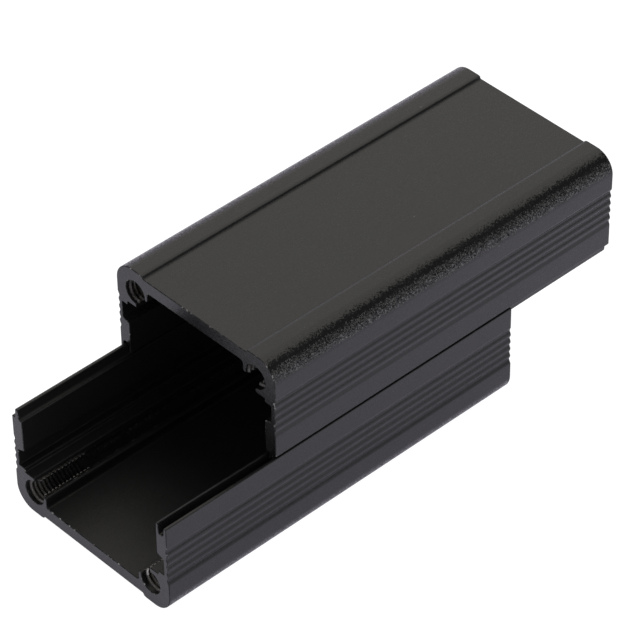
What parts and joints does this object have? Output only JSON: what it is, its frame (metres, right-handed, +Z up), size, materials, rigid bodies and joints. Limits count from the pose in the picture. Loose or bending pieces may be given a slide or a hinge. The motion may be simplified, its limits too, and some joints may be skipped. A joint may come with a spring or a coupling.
{
  "type": "extruded aluminium enclosure",
  "caption": "Small rectangular two-part extruded aluminium enclosure with board slots, grip grooves and tapped screw channels; its halves slide on a tongue and groove.",
  "frame": {"origin": "centre of the base of the whole part as it stands at rest, with the upper half slid 15.4 mm along the lower one", "axes": "+X along the extrusion, the way the upper half is slid; +Y towards the lower half's tongue edge; +Z up from the lower half's base"},
  "size_m": [0.0658, 0.0248, 0.025],
  "materials": {
    "anodised_lower": "black anodised over a fine blasted grain, with the extrusion's faint drawing lines",
    "anodised_upper": "black anodised over a fine blasted grain, with the extrusion's faint drawing lines"
  },
  "bodies": {
    "lower": {"lower_half": "anodised_lower"},
    "upper": {"upper_half": "anodised_upper"}
  },
  "joints": [
    {"name": "halves_slide", "type": "slide", "parent": "lower", "child": "upper", "axis": [1, 0, 0], "range_m": [-0.0659, 0.0351]}
  ]
}
